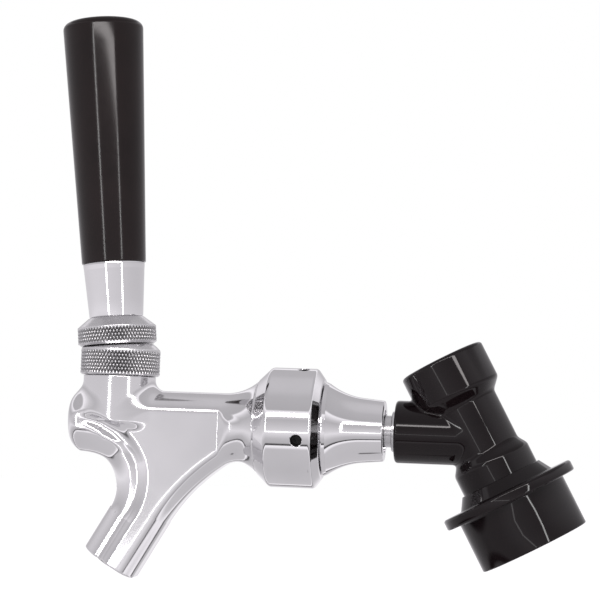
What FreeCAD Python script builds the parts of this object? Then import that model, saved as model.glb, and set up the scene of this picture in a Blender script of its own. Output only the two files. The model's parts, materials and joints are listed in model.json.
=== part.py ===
"""Beer faucet on a keg ball-lock disconnect, as an assembly of separate solids, in millimetres.

Everything is designed in the tap frame: +X runs along the shank axis from the spout end to the keg
disconnect, +Z is up, and x = 0 is near the joint face inside the coupling nut. On export the whole
tap moves so that its origin is the centre of the mouth of the socket that sits on the keg post.
Lever parts are turned about the lever's own axis and disconnect parts about the disconnect's own
axis, then placed. A turned profile lists its corners as (radius, height) or, with a rounded corner,
(radius, height, fillet).
"""

import FreeCAD
import Part

import math
import os

V = FreeCAD.Vector
OUT = "parts"

# ---- clearances -------------------------------------------------------------------------------
THREAD_GAP = 0.06      # radial, between a male thread's crest and the plain bore it screws into
SLIP_GAP = 0.10        # radial, between pieces that slip together by hand
FACE_GAP = 0.15        # between faces that stop short of each other
BALL_GAP = 0.05        # between a ball and its seat
PASSING_GAP = 0.2      # between moving pieces that pass close by

# ---- faucet body ------------------------------------------------------------------------------
BARREL_R = 9.95
BARREL_NOSE_X = -71.8
NOSE_ROUND = 3.6
NOSE_R = 9.0
FLARE_START_X = -20.5
FLARE_END_X = -12.9
COUPLING_THREAD_R = 14.29   # 1-1/8 in - 18
FLARE_UNDERCUT = 0.69       # of the flare's end below the thread's crest
COUPLING_THREAD_PITCH = 1.41
BODY_END_X = -2.0
MAIN_BORE_R = 5.2
MAIN_BORE_FRONT_X = -67.0
SEAT_X = -13.0
CHAMBER_R = 9.2

NECK_X = -57.2
NECK_THREAD_R = 10.2
NECK_LEDGE = 1.1            # of the neck's shoulder outside its thread
NECK_SHOULDER_Z = 14.2
NECK_TOP_Z = 18.4
NECK_THREAD_PITCH = 1.1
NECK_BORE_R = 8.3
NECK_FLOOR_Z = 5.9
TAIL_HOLE_R = 5.8

SPOUT_LEAN = 30.0           # from straight down, towards the front
SPOUT_END = (-57.8, -43.8)  # centre of the spout's mouth, in x and z
SPOUT_R = 9.25
SPOUT_BORE_R = 6.0
SPOUT_BORE_DEPTH = 20.0
SPOUT_FEED_R = 5.0
SPOUT_RIM = 0.6

RIDGE_R = 7.5               # rounded front and rear edges of the web
RIDGE_INSET = 0.2           # of the ridges inside the spout's surface
WEB_HALF = 7.2
FRONT_BEND_CENTRE = (-68.5, -20.5)
FRONT_BEND_R = 11.9         # of the outline
FRONT_BEND_TOP = 85.0       # angle at which the bend ends inside the nose
REAR_BEND_CENTRE = (11.5, -61.4)
REAR_BEND_R = 59.7
REAR_BEND_TOP = 121.0

# ---- lever, pivot and its packing, heights measured from the pivot -----------------------------
LEVER_LEAN = 5.2            # towards the spout, with the tap closed
BALL_R = 5.6
PIVOT_Z = MAIN_BORE_R + BALL_R + PASSING_GAP
STEM_R = 3.0
STEM_TOP = 17.0
LEVER_THREAD_R = 4.76       # 3/8 in - 16
LEVER_THREAD_PITCH = 1.59
LEVER_TOP = 40.0
TAIL_R = 1.7
TAIL_TIP_R = 2.3
TAIL_LENGTH = PIVOT_Z

SEAT_RING_LOW = NECK_FLOOR_Z - PIVOT_Z
SEAT_RING_TOP = -1.5
SEAT_RING_HOLE_R = 4.6
FRICTION_LOW = 1.3
FRICTION_TOP = 2.9
BUSHING_HOLE_R = 5.45
SWING_SLOPE = 0.42          # how fast the holes above the ball widen, to clear the stem's swing
BUSHING_FLANGE_LOW = NECK_TOP_Z - PIVOT_Z + FACE_GAP
BUSHING_FLANGE_TOP = 9.4
BUSHING_FLANGE_R = NECK_THREAD_R - 0.3

BONNET_WALL = 2.14          # from its thread to its knurl
BONNET_LOW = NECK_SHOULDER_Z - PIVOT_Z + FACE_GAP
BONNET_KNURL_TOP = 11.5
BONNET_SHOULDER = BUSHING_FLANGE_TOP
BONNET_EDGE = 0.5

COLLAR_INSET = 0.1          # of the collar's knurl inside the bonnet's
COLLAR_GAP = 0.4            # between the bonnet's dome and the collar's hollow underside
COLLAR_LOW = 13.0
COLLAR_KNURL_TOP = 18.6
COLLAR_TOP = 21.5
COLLAR_TOP_R = 8.7
COLLAR_EDGE = 0.7

FERRULE_LOW_R = 8.4
FERRULE_TOP_R = 9.65
FERRULE_TOP = 38.7
FERRULE_FLOOR = 2.6
FERRULE_BORE_R = 7.0
FERRULE_LIP = 0.7
GRIP_LOW_R = 10.05
GRIP_TOP_R = 12.75
GRIP_TOP = 115.9
GRIP_TOP_ROUND = 2.4
INSERT_WALL = 1.0
INSERT_LENGTH = 19.0
INSERT_FLANGE = 1.2

# ---- valve shaft ------------------------------------------------------------------------------
PISTON_BACK = 7.5           # from the slot's centre towards each end
PISTON_FRONT = 7.6
SLOT_GAP = 0.25
SLOT_FLOOR_Z = -3.0
SLOT_RELIEF = (1.8, 1.6)     # forward, and the height above the axis at which it starts
SLOT_WIDTH_Y = 6.0
SHAFT_R = 2.4
SHAFT_COLLAR_R = 3.4
SHAFT_COLLAR_LENGTH = 1.6
SEAT_WASHER_R = 7.8
SEAT_WASHER_T = 2.4
BACKING_R = 6.5
BACKING_T = 1.0
SHAFT_NUT_FLATS = 9.0
SHAFT_NUT_T = 3.0
SHAFT_TAIL = 0.5

# ---- coupling nut, adapter and its stub --------------------------------------------------------
NUT_WALL = 4.15                  # from its thread to its outside
NUT_FRONT_X = -12.4
NUT_FRONT_CHAMFER = (3.9, 3.8)   # along the axis, and inwards
NUT_BACK_X = 7.9
NUT_BACK_CHAMFER = (2.4, 3.3)
NUT_LIP_X = 3.3
NUT_EDGE = 0.5
SPANNER_HOLES = 4
SPANNER_HOLE_R = 1.75
SPANNER_HOLE_DEPTH = 3.3
SPANNER_HOLE_X = 1.5
SPANNER_FIRST = -12.0            # angle above the side that faces -Y

GASKET_T = 1.6
GASKET_RIM = 1.75                # from the gasket's edge out to the nut's bore
ADAPTER_STEM_R = 11.2
ADAPTER_BORE_R = 6.5
ADAPTER_BORE_DEPTH = 10.5
ADAPTER_FEED_R = 3.0
RING_WIRE = 1.5
RING_INNER_R = 10.3
RING_RIM = 1.35                  # from the ring's edge out to the nut's bore
RING_SLOT = 4.0
BELL_RIM_R = 14.65
BELL_RIM_END_R = 13.95
BELL_RIM_LENGTH = 1.5
BELL_WAIST_R = 10.55
BELL_WAIST = 6.05                # from the bell's front face to the corner of its curve
BELL_CURVE = 20.8
BELL_END_R = 9.35
BELL_LENGTH = 18.6
BELL_RECESS_R = 6.6
BELL_RECESS = 0.7

STUB_R = 4.9
STUB_BORE_R = 2.6
STUB_SOCKET_DEPTH = 12.0
STUB_SEAL_T = 1.2
STUB_THREAD_PITCH = 1.27
STUB_FLANGE_R = 6.2
STUB_FLANGE_T = 1.0
STUB_REACH = 2.3                 # bare stub between the bell and its own flange
STUB_SPIGOT = 8.7
ORING_WIRE = 0.8
STUB_GROOVE = 4.6                # from the arm's face to the O-ring

# ---- keg disconnect, heights measured up its own axis from the socket's mouth -------------------
QD_LEAN = 28.5                   # of its axis from vertical, leaning towards the tap
QD_CROSS_X = 55.5                # where its axis crosses the shank axis
QD_CROSS_H = 38.0
QD_HEIGHT = 63.5
ARM_R = 9.6
ARM_EDGE = 1.0
ARM_FEED_R = 3.2
MOUTH_R = 9.1
MOUTH_DEPTH = 2.8
SOCKET_R = 8.85
SOCKET_DEPTH = 10.5
POST_BORE_R = 7.5
FLOOR_LOW = 19.0
FLOOR_TOP = 21.8
SEAT_HOLE_R = 3.6
CHAMBER_QD_R = 7.4
SOCKET_OUTER_R = 11.3
SHOULDER_LOW = 22.2
SHOULDER_TOP = 29.5
SHOULDER_R = 12.3
COLUMN_LOW = 32.2
COLUMN_R = 10.5
HEAD_LENGTH = 11.9               # of the head's straight part
HEAD_CONE = 3.3                  # of the cone under it
HEAD_R = 13.5
HEAD_EDGE = 1.2
CAP_DEPTH = 8.9                  # from the head's top down to the cap's seat
CAP_R = 10.6
CAP_SUNK = 0.5
CAP_SLOT = (3.2, 17.0, 2.6)      # width, length and depth
CAP_BOSS = 1.6
CAP_BOSS_R = 7.2
CAP_POCKET_R = 5.6
CAP_RING_WIRE = 0.9
CAP_THREAD_PITCH = 1.5

SLEEVE_TRAVEL = 4.0              # as the sleeve lifts, the balls move out by their own travel
BALL_TRAVEL = 0.8
LOCK_BALLS = 3
LOCK_BALL_R = 1.75
LOCK_BALL_H = 5.2
LOCK_BALL_BITE = 0.7             # how far each ball stands into the socket
CAM_TOP = 7.3
SLEEVE_LEDGE = 11.5
SLEEVE_SKIRT_WALL = 4.9          # from the sleeve's bore out to its skirt
SLEEVE_FLANGE_REACH = 8.95       # from the bore out to the flange's rim
SLEEVE_FLANGE = (15.8, 19.2)
SLEEVE_FLARE = 2.95              # from the bore out to the foot of the flare above the flange
SLEEVE_TOP = 23.1
SLEEVE_LIP = 0.55
SLEEVE_POCKET = (1.95, 3.25, 13.0)   # inner and outer edge from the bore, and depth, of its groove
SLEEVE_RIBS = 6
SLEEVE_RIB_W = 1.4
SLEEVE_SPRING_WIRE = 0.42
SLEEVE_SPRING_TURNS = 4

POPPET_FOOT_R = 2.6
POPPET_FOOT_LOW = 9.0
POPPET_FOOT_T = 1.6
POPPET_ROD_R = 1.7
POPPET_SEAL_R = 5.6
POPPET_SEAL_T = 1.8
POPPET_DISC_R = 5.2
POPPET_DISC_T = 1.4
POPPET_GUIDE_R = 2.0
POPPET_GUIDE = 17.0
POPPET_SPRING_R = 4.1
POPPET_SPRING_WIRE = 0.4
POPPET_SPRING_TURNS = 8

# ---- places worked out from the sizes above ----------------------------------------------------
PIVOT = V(NECK_X, 0, PIVOT_Z)
FLARE_R = COUPLING_THREAD_R - FLARE_UNDERCUT
PISTON_R = MAIN_BORE_R - SLIP_GAP
NECK_R = NECK_THREAD_R + NECK_LEDGE
BONNET_BORE_R = NECK_THREAD_R + THREAD_GAP
BONNET_R = BONNET_BORE_R + BONNET_WALL
COLLAR_R = BONNET_R - COLLAR_INSET
BONNET_DOME_R = math.hypot(BONNET_R, BONNET_KNURL_TOP)
COLLAR_HOLLOW_R = BONNET_DOME_R + COLLAR_GAP
PACKING_R = NECK_BORE_R - SLIP_GAP
NUT_BORE_R = COUPLING_THREAD_R + THREAD_GAP
NUT_R = NUT_BORE_R + NUT_WALL
GASKET_R = NUT_BORE_R - GASKET_RIM
RING_OUTER_R = NUT_BORE_R - RING_RIM
GASKET_X = BODY_END_X + GASKET_T
BELL_X = NUT_BACK_X + 0.25
BELL_END_X = BELL_X + BELL_LENGTH
STUB_FLANGE_X = BELL_END_X + STUB_REACH
ARM_X = STUB_FLANGE_X + STUB_FLANGE_T
HEAD_LOW = QD_HEIGHT - HEAD_LENGTH
HEAD_CONE_LOW = HEAD_LOW - HEAD_CONE
CAP_SEAT = QD_HEIGHT - CAP_DEPTH
SLEEVE_BORE_R = SHOULDER_R + FACE_GAP
SLEEVE_SKIRT_R = SLEEVE_BORE_R + SLEEVE_SKIRT_WALL
SLEEVE_FLANGE_R = SLEEVE_BORE_R + SLEEVE_FLANGE_REACH
SLEEVE_FLARE_R = SLEEVE_BORE_R + SLEEVE_FLARE
LOCK_BALL_RADIUS = SOCKET_R + LOCK_BALL_R - LOCK_BALL_BITE   # of the circle of ball centres
CAM_SLOPE = BALL_TRAVEL / SLEEVE_TRAVEL
CAM_R = LOCK_BALL_RADIUS + LOCK_BALL_R * math.hypot(1, CAM_SLOPE) + BALL_GAP
QD_UP = V(-math.sin(math.radians(QD_LEAN)), 0, math.cos(math.radians(QD_LEAN)))
MOUTH = V(QD_CROSS_X, 0, 0) - QD_UP * QD_CROSS_H
SPOUT_UP = V(math.sin(math.radians(SPOUT_LEAN)), 0, math.cos(math.radians(SPOUT_LEAN)))


# ---- shape helpers ------------------------------------------------------------------------------
def flat(radius, height):
    """A profile point in the XZ plane."""
    return V(radius, 0, height)


def profile_face(corners):
    """A closed face in the XZ plane from (radius, height[, fillet]) corners."""
    points = [flat(c[0], c[1]) for c in corners]
    fillets = [c[2] if len(c) > 2 else 0.0 for c in corners]
    count = len(points)
    starts, ends, arcs = [], [], []
    for i, corner in enumerate(points):
        before = (points[i - 1] - corner).normalize()
        after = (points[(i + 1) % count] - corner).normalize()
        if not fillets[i]:
            starts.append(corner)
            ends.append(corner)
            arcs.append(None)
            continue
        half = before.getAngle(after) / 2
        reach = fillets[i] / math.tan(half)
        towards_centre = (before + after).normalize()
        starts.append(corner + before * reach)
        ends.append(corner + after * reach)
        arcs.append(corner + towards_centre * (fillets[i] / math.sin(half) - fillets[i]))
    edges = []
    for i in range(count):
        if arcs[i] is not None:
            edges.append(Part.Arc(starts[i], arcs[i], ends[i]).toShape())
        following = starts[(i + 1) % count]
        if (following - ends[i]).Length > 1e-6:
            edges.append(Part.LineSegment(ends[i], following).toShape())
    return Part.Face(Part.Wire(edges))


def turned(corners):
    """A solid of revolution about Z."""
    return profile_face(corners).revolve(V(), V(0, 0, 1), 360)


def tube(outer, inner, low, high, edge=0.0):
    """A plain ring, with its outer edges rounded."""
    return turned([(inner, low), (outer, low, edge), (outer, high, edge), (inner, high)])


def rod(radius, low, high):
    """A plain cylinder about Z."""
    return Part.makeCylinder(radius, high - low, V(0, 0, low))


def thread_cuts(radius, low, high, pitch):
    """V grooves that stand for a male thread: to be cut from a cylinder of that radius."""
    depth = 0.45 * pitch
    count = int((high - low) / pitch)
    first = low + (high - low - (count - 1) * pitch) / 2
    grooves = []
    for i in range(count):
        middle = first + i * pitch
        face = profile_face([(radius - depth, middle), (radius + depth, middle - 0.8 * pitch),
                             (radius + depth, middle + 0.8 * pitch)])
        grooves.append(face.revolve(V(), V(0, 0, 1), 360))
    return grooves


def o_ring(middle_radius, wire, height):
    """A round-section ring about Z."""
    return Part.makeTorus(middle_radius, wire, V(0, 0, height), V(0, 0, 1))


def coil_spring(middle_radius, wire, low, high, turns):
    """A spring's coils as one closed sleeve that swells at each coil and narrows between them."""
    count = 2 * turns
    heights = [low + (high - low) * i / count for i in range(count + 1)]
    reach = [wire if i % 2 == 0 else 0.3 * wire for i in range(count + 1)]
    outside = [(middle_radius + r, h) for r, h in zip(reach, heights)]
    inside = [(middle_radius - r, h) for r, h in zip(reach, heights)]
    return turned(outside + inside[::-1])


def along_shank(shape):
    """Heights about Z become x along the shank axis."""
    placed = shape.copy()
    placed.rotate(V(), V(0, 1, 0), 90)
    return placed


def on_lever(shape):
    """Heights about Z become distances from the pivot along the leaning lever."""
    placed = shape.copy()
    placed.rotate(V(), V(0, 1, 0), -LEVER_LEAN)
    placed.translate(PIVOT)
    return placed


def on_neck(shape):
    """Heights about Z become heights above the pivot, on the upright neck."""
    placed = shape.copy()
    placed.translate(PIVOT)
    return placed


def on_disconnect(shape):
    """Heights about Z become heights up the disconnect's axis from its mouth."""
    placed = shape.copy()
    placed.rotate(V(), V(0, 1, 0), -QD_LEAN)
    placed.translate(MOUTH)
    return placed


def bent_tube(centre, middle_radius, radius, first, last):
    """A tube in the XZ plane round a centre, from one angle to another, above the X axis."""
    middle = V(centre[0], 0, centre[1])
    start = middle + V(math.cos(math.radians(first)), 0, math.sin(math.radians(first))) * middle_radius
    tangent = V(-math.sin(math.radians(first)), 0, math.cos(math.radians(first)))
    section = Part.Face(Part.Wire(Part.makeCircle(radius, start, tangent)))
    return section.revolve(middle, V(0, -1, 0), last - first)


def on_circle(centre, radius, angle):
    """A point in the XZ plane, at an angle above the X axis."""
    turn = math.radians(angle)
    return V(centre[0] + radius * math.cos(turn), 0, centre[1] + radius * math.sin(turn))


def spout_point(along, sideways=0.0):
    """A point on the spout: along its axis from the mouth, and sideways towards the rear."""
    rear = V(SPOUT_UP.z, 0, -SPOUT_UP.x)
    return V(SPOUT_END[0], 0, SPOUT_END[1]) + SPOUT_UP * along + rear * sideways


# ---- the faucet ---------------------------------------------------------------------------------
def faucet_body():
    barrel = along_shank(turned([
        (0, BARREL_NOSE_X), (NOSE_R, BARREL_NOSE_X, NOSE_ROUND), (BARREL_R, NECK_X),
        (BARREL_R, FLARE_START_X, 5.0), (FLARE_R, FLARE_END_X, 1.0),
        (FLARE_R, FLARE_END_X + 1.0), (COUPLING_THREAD_R, FLARE_END_X + 1.6),
        (COUPLING_THREAD_R, BODY_END_X), (0, BODY_END_X)]))
    for groove in thread_cuts(COUPLING_THREAD_R, FLARE_END_X + 1.8, BODY_END_X,
                              COUPLING_THREAD_PITCH):
        barrel = barrel.cut(along_shank(groove))
    neck = rod(NECK_R, 0, NECK_SHOULDER_Z).fuse(rod(NECK_THREAD_R, 0, NECK_TOP_Z))
    for groove in thread_cuts(NECK_THREAD_R, NECK_SHOULDER_Z + 0.4, NECK_TOP_Z, NECK_THREAD_PITCH):
        neck = neck.cut(groove)
    neck.translate(V(NECK_X, 0, 0))

    front_mid = FRONT_BEND_R + RIDGE_R
    rear_mid = REAR_BEND_R + RIDGE_R
    front_bend = bent_tube(FRONT_BEND_CENTRE, front_mid, RIDGE_R, -SPOUT_LEAN, FRONT_BEND_TOP)
    rear_bend = bent_tube(REAR_BEND_CENTRE, rear_mid, RIDGE_R, REAR_BEND_TOP, 180 - SPOUT_LEAN)
    front_start = on_circle(FRONT_BEND_CENTRE, front_mid, -SPOUT_LEAN)
    rear_start = on_circle(REAR_BEND_CENTRE, rear_mid, 180 - SPOUT_LEAN)
    joint = spout_point(8.0)
    web_edges = [
        Part.LineSegment(joint, front_start).toShape(),
        Part.Arc(front_start, on_circle(FRONT_BEND_CENTRE, front_mid, 30),
                 on_circle(FRONT_BEND_CENTRE, front_mid, FRONT_BEND_TOP)).toShape(),
        Part.LineSegment(on_circle(FRONT_BEND_CENTRE, front_mid, FRONT_BEND_TOP),
                         on_circle(REAR_BEND_CENTRE, rear_mid, REAR_BEND_TOP)).toShape(),
        Part.Arc(on_circle(REAR_BEND_CENTRE, rear_mid, REAR_BEND_TOP),
                 on_circle(REAR_BEND_CENTRE, rear_mid, 135), rear_start).toShape(),
        Part.LineSegment(rear_start, joint).toShape()]
    web = Part.Face(Part.Wire(web_edges)).extrude(V(0, 2 * WEB_HALF, 0))
    web.translate(V(0, -WEB_HALF, 0))

    tangent_length = (front_start - V(SPOUT_END[0], 0, SPOUT_END[1])).dot(SPOUT_UP)
    rear_length = (rear_start - V(SPOUT_END[0], 0, SPOUT_END[1])).dot(SPOUT_UP)
    spout = Part.makeCylinder(SPOUT_R, tangent_length, spout_point(0), SPOUT_UP)
    spout = spout.makeFillet(SPOUT_RIM, [e for e in spout.Edges
                                         if len(e.Vertexes) == 1 and e.BoundBox.ZMin < -45])
    shoulder = Part.makeCone(SPOUT_R, RIDGE_R, 12.0, spout_point(tangent_length), SPOUT_UP)
    rear_run = Part.makeCylinder(RIDGE_R, rear_length - 6.0,
                                 spout_point(6.0, SPOUT_R - RIDGE_R - RIDGE_INSET), SPOUT_UP)

    body = barrel
    for piece in (neck, front_bend, rear_bend, web, spout, shoulder, rear_run):
        body = body.fuse(piece)

    bores = [
        Part.makeCylinder(MAIN_BORE_R, BODY_END_X - MAIN_BORE_FRONT_X,
                          V(MAIN_BORE_FRONT_X, 0, 0), V(1, 0, 0)),
        Part.makeCylinder(CHAMBER_R, BODY_END_X - SEAT_X, V(SEAT_X, 0, 0), V(1, 0, 0)),
        Part.makeCylinder(NECK_BORE_R, NECK_TOP_Z, V(NECK_X, 0, NECK_FLOOR_Z)),
        Part.makeCylinder(TAIL_HOLE_R, NECK_FLOOR_Z + 1.0, V(NECK_X, 0, 0)),
        Part.makeCylinder(SPOUT_BORE_R, SPOUT_BORE_DEPTH, spout_point(0), SPOUT_UP),
        Part.makeCylinder(SPOUT_FEED_R, -SPOUT_END[1] / SPOUT_UP.z, spout_point(0), SPOUT_UP)]
    body = body.cut(bores[0].multiFuse(bores[1:]))
    return body


def ball_pocket():
    """The sphere that the lever's ball turns in, about the pivot."""
    return Part.makeSphere(BALL_R + BALL_GAP)


def ball_seat_ring():
    ring = tube(PACKING_R, SEAT_RING_HOLE_R, SEAT_RING_LOW, SEAT_RING_TOP)
    return on_neck(ring.cut(ball_pocket()))


def friction_washer():
    ring = tube(PACKING_R, STEM_R, FRICTION_LOW, FRICTION_TOP)
    return on_neck(ring.cut(ball_pocket()))


def swing_radius(height):
    """Radius at a height above the pivot that leaves room for the stem's swing."""
    return BUSHING_HOLE_R + SWING_SLOPE * (height - FRICTION_TOP)


def compression_bushing():
    return on_neck(turned([
        (BUSHING_HOLE_R, FRICTION_TOP), (PACKING_R, FRICTION_TOP),
        (PACKING_R, BUSHING_FLANGE_LOW), (BUSHING_FLANGE_R, BUSHING_FLANGE_LOW, 0.3),
        (BUSHING_FLANGE_R, BUSHING_FLANGE_TOP, 0.3),
        (swing_radius(BUSHING_FLANGE_TOP), BUSHING_FLANGE_TOP)]).cut(ball_pocket()))


def bonnet():
    dome_overshoot = BONNET_DOME_R
    ring = turned([
        (BONNET_BORE_R, BONNET_LOW), (BONNET_R, BONNET_LOW, BONNET_EDGE), (BONNET_R, dome_overshoot),
        (swing_radius(dome_overshoot) + FACE_GAP, dome_overshoot),
        (swing_radius(BONNET_SHOULDER) + FACE_GAP, BONNET_SHOULDER),
        (BONNET_BORE_R, BONNET_SHOULDER)])
    return on_neck(ring.common(Part.makeSphere(BONNET_DOME_R)))


def lever():
    ball = Part.makeSphere(BALL_R)
    stem = turned([
        (0, 0), (STEM_R, 0), (STEM_R, STEM_TOP), (LEVER_THREAD_R, STEM_TOP + 0.9),
        (LEVER_THREAD_R, LEVER_TOP - 0.8), (LEVER_THREAD_R - 0.8, LEVER_TOP), (0, LEVER_TOP)])
    tail = rod(TAIL_R, -TAIL_LENGTH, 0)
    tip = Part.makeSphere(TAIL_TIP_R, V(0, 0, -TAIL_LENGTH))
    shape = ball.fuse(stem).fuse(tail).fuse(tip)
    for groove in thread_cuts(LEVER_THREAD_R, STEM_TOP + 1.2, LEVER_TOP - 0.8, LEVER_THREAD_PITCH):
        shape = shape.cut(groove)
    return on_lever(shape)


def lever_collar():
    bore = LEVER_THREAD_R + THREAD_GAP
    body = turned([
        (bore, COLLAR_LOW), (COLLAR_R - COLLAR_EDGE, COLLAR_LOW),
        (COLLAR_R, COLLAR_LOW + COLLAR_EDGE), (COLLAR_R, COLLAR_KNURL_TOP, 0.3),
        (COLLAR_TOP_R, COLLAR_TOP), (bore, COLLAR_TOP)])
    return on_lever(body.cut(Part.makeSphere(COLLAR_HOLLOW_R)))


def handle_ferrule():
    bore = LEVER_THREAD_R + SLIP_GAP
    low = COLLAR_TOP
    return on_lever(turned([
        (bore, low), (FERRULE_LOW_R, low, 0.5), (FERRULE_TOP_R, FERRULE_TOP - FERRULE_LIP),
        (FERRULE_TOP_R - 0.25, FERRULE_TOP), (FERRULE_BORE_R, FERRULE_TOP),
        (FERRULE_BORE_R, low + FERRULE_FLOOR), (bore, low + FERRULE_FLOOR)]))


def insert_radii():
    """Inner and outer radius of the threaded insert."""
    inner = LEVER_THREAD_R + THREAD_GAP
    return inner, inner + INSERT_WALL


def threaded_insert():
    inner, outer = insert_radii()
    low = COLLAR_TOP + FERRULE_FLOOR
    return on_lever(turned([
        (inner, low), (FERRULE_BORE_R - SLIP_GAP, low),
        (FERRULE_BORE_R - SLIP_GAP, low + INSERT_FLANGE), (outer, low + INSERT_FLANGE),
        (outer, low + INSERT_LENGTH, 0.3), (inner, low + INSERT_LENGTH)]))


def handle_grip():
    outer = insert_radii()[1]
    low = COLLAR_TOP + FERRULE_FLOOR + INSERT_FLANGE
    insert_top = COLLAR_TOP + FERRULE_FLOOR + INSERT_LENGTH
    return on_lever(turned([
        (outer, low), (FERRULE_BORE_R - SLIP_GAP, low), (FERRULE_BORE_R - SLIP_GAP, FERRULE_TOP),
        (GRIP_LOW_R, FERRULE_TOP, 0.3), (GRIP_TOP_R, GRIP_TOP, GRIP_TOP_ROUND), (0, GRIP_TOP),
        (0, insert_top + 1.0), (outer, insert_top + 1.0)]))


# ---- valve shaft ---------------------------------------------------------------------------------
def slot_centre():
    """Where the lever's tail meets the shaft, with the tap closed."""
    return NECK_X + TAIL_LENGTH * math.sin(math.radians(LEVER_LEAN))


def valve_shaft():
    middle = slot_centre()
    washers_end = SEAT_X + SEAT_WASHER_T + BACKING_T + SHAFT_NUT_T
    shaft = along_shank(turned([
        (0, middle - PISTON_FRONT), (PISTON_R, middle - PISTON_FRONT, 0.5),
        (PISTON_R, middle + PISTON_BACK, 0.5), (SHAFT_R, middle + PISTON_BACK),
        (SHAFT_R, SEAT_X - SHAFT_COLLAR_LENGTH), (SHAFT_COLLAR_R, SEAT_X - SHAFT_COLLAR_LENGTH),
        (SHAFT_COLLAR_R, SEAT_X), (SHAFT_R, SEAT_X), (SHAFT_R, washers_end + SHAFT_TAIL, 0.3),
        (0, washers_end + SHAFT_TAIL)]))
    half = TAIL_TIP_R + SLOT_GAP
    slot = Part.makeBox(2 * half, SLOT_WIDTH_Y, PISTON_R - SLOT_FLOOR_Z + 1,
                        V(middle - half, -SLOT_WIDTH_Y / 2, SLOT_FLOOR_Z))
    forward, start = SLOT_RELIEF
    relief = Part.makeBox(half + forward, SLOT_WIDTH_Y, PISTON_R - start + 1,
                          V(middle - half - forward, -SLOT_WIDTH_Y / 2, start))
    return shaft.cut(slot.fuse(relief))


def seat_washer():
    return along_shank(tube(SEAT_WASHER_R, SHAFT_R + SLIP_GAP, SEAT_X, SEAT_X + SEAT_WASHER_T, 0.4))


def backing_washer():
    low = SEAT_X + SEAT_WASHER_T
    return along_shank(tube(BACKING_R, SHAFT_R + SLIP_GAP, low, low + BACKING_T))


def shaft_nut():
    low = SEAT_X + SEAT_WASHER_T + BACKING_T
    corner = SHAFT_NUT_FLATS / math.sqrt(3)
    points = [V(corner * math.cos(math.radians(60 * i)), corner * math.sin(math.radians(60 * i)), low)
              for i in range(7)]
    hexagon = Part.Face(Part.makePolygon(points)).extrude(V(0, 0, SHAFT_NUT_T))
    return along_shank(hexagon.cut(rod(SHAFT_R + THREAD_GAP, low - 1, low + SHAFT_NUT_T + 1)))


# ---- coupling ------------------------------------------------------------------------------------
def coupling_nut():
    front_length, front_depth = NUT_FRONT_CHAMFER
    back_length, back_depth = NUT_BACK_CHAMFER
    nut = turned([
        (NUT_BORE_R, NUT_FRONT_X), (NUT_R - front_depth, NUT_FRONT_X, 0.15),
        (NUT_R, NUT_FRONT_X + front_length, NUT_EDGE), (NUT_R, NUT_BACK_X - back_length, NUT_EDGE),
        (NUT_R - back_depth, NUT_BACK_X, 0.4), (ADAPTER_STEM_R + SLIP_GAP, NUT_BACK_X),
        (ADAPTER_STEM_R + SLIP_GAP, NUT_LIP_X), (NUT_BORE_R, NUT_LIP_X)])
    nut = along_shank(nut)
    for i in range(SPANNER_HOLES):
        angle = math.radians(SPANNER_FIRST + 360 / SPANNER_HOLES * i)
        outwards = V(0, -math.cos(angle), math.sin(angle))
        start = V(SPANNER_HOLE_X, 0, 0) + outwards * (NUT_R - SPANNER_HOLE_DEPTH)
        nut = nut.cut(Part.makeCylinder(SPANNER_HOLE_R, 2 * SPANNER_HOLE_DEPTH, start, outwards))
    return nut


def coupling_gasket():
    return along_shank(tube(GASKET_R, CHAMBER_R, BODY_END_X, GASKET_X, 0.3))


def adapter_body():
    groove_back = NUT_LIP_X + 0.1
    groove_front = NUT_LIP_X - RING_WIRE - 0.1
    socket_x = BELL_END_X - STUB_SOCKET_DEPTH
    return along_shank(turned([
        (ADAPTER_BORE_R, GASKET_X), (ADAPTER_STEM_R, GASKET_X, 0.4),
        (ADAPTER_STEM_R, groove_front), (RING_INNER_R - SLIP_GAP, groove_front),
        (RING_INNER_R - SLIP_GAP, groove_back), (ADAPTER_STEM_R, groove_back),
        (ADAPTER_STEM_R, BELL_X), (BELL_RIM_R, BELL_X, 0.35),
        (BELL_RIM_END_R, BELL_X + BELL_RIM_LENGTH), (BELL_WAIST_R, BELL_X + BELL_WAIST, BELL_CURVE),
        (BELL_END_R, BELL_END_X, 0.5), (BELL_RECESS_R, BELL_END_X),
        (BELL_RECESS_R, BELL_END_X - BELL_RECESS), (STUB_R + THREAD_GAP, BELL_END_X - BELL_RECESS),
        (STUB_R + THREAD_GAP, socket_x), (ADAPTER_FEED_R, socket_x),
        (ADAPTER_FEED_R, GASKET_X + ADAPTER_BORE_DEPTH),
        (ADAPTER_BORE_R, GASKET_X + ADAPTER_BORE_DEPTH)]))


def nut_retaining_ring():
    ring = tube(RING_OUTER_R, RING_INNER_R, NUT_LIP_X - RING_WIRE, NUT_LIP_X)
    gap = Part.makeBox(RING_SLOT, 2 * RING_OUTER_R, 3 * RING_WIRE,
                       V(-RING_SLOT / 2, 0, NUT_LIP_X - 2 * RING_WIRE))
    return along_shank(ring.cut(gap))


def flare_washer():
    low = BELL_END_X - STUB_SOCKET_DEPTH
    return along_shank(tube(STUB_R - SLIP_GAP, STUB_BORE_R + SLIP_GAP, low, low + STUB_SEAL_T))


def groove_root():
    """Radius of the floor of the stub's O-ring groove."""
    return STUB_R + SLIP_GAP - 2 * ORING_WIRE - BALL_GAP


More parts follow.
